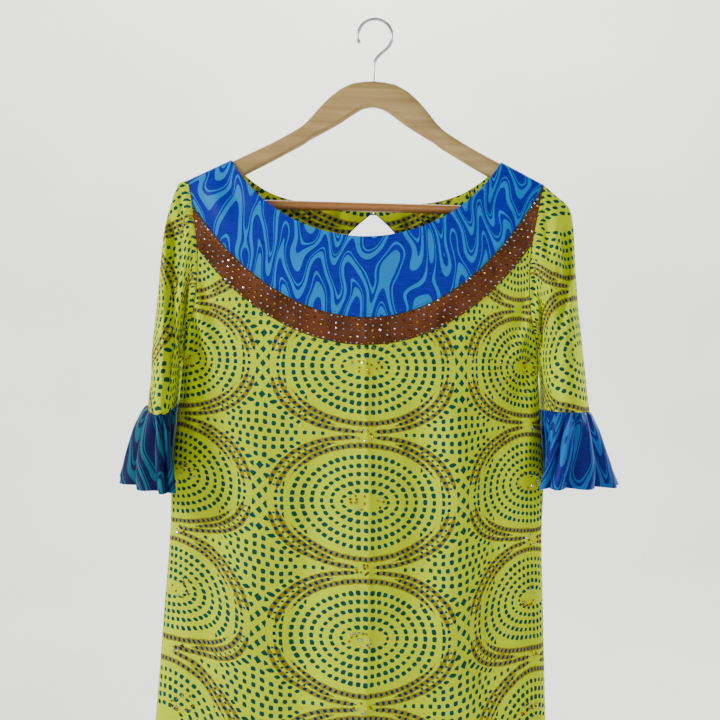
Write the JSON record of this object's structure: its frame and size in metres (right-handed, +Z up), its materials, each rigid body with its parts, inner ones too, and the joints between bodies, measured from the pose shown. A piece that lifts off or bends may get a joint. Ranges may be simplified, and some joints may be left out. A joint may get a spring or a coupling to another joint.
{
  "type": "wax print dress on a wooden hanger",
  "caption": "Hollow cotton dress with a round yoke, a studded band, elbow sleeves with gathered ruffles and a back keyhole, on a shaped wooden hanger with a bar and a steel hook.",
  "frame": {"origin": "the middle of the hook's inner top, where it rests on a rail", "axes": "+Z up, +X to the viewer's right, and the dress's front faces -Y"},
  "size_m": [0.5752, 0.1508, 1.1254],
  "materials": {
    "dotted_wax_print": "lime cotton with dotted rings and olive bands, faint sheen",
    "swirl_wax_print": "royal blue cotton with cyan fingers, faint sheen",
    "brown_suede": "matt brushed brown cloth with small studs",
    "beech": "pale satin varnish",
    "bar_wood": "warm satin varnish",
    "steel_wire": "polished wire"
  },
  "bodies": {
    "root": {"yoke_front": "swirl_wax_print", "neck_band": "brown_suede", "body_front": "dotted_wax_print", "body_back": "dotted_wax_print", "sleeve_left": "dotted_wax_print", "sleeve_right": "dotted_wax_print", "cuff_ruffle_left": "swirl_wax_print", "cuff_ruffle_right": "swirl_wax_print", "back_button": "swirl_wax_print", "back_loop": "swirl_wax_print", "hanger_body": "beech", "hanger_bar": "bar_wood", "hanger_hook": "steel_wire"}
  },
  "joints": []
}
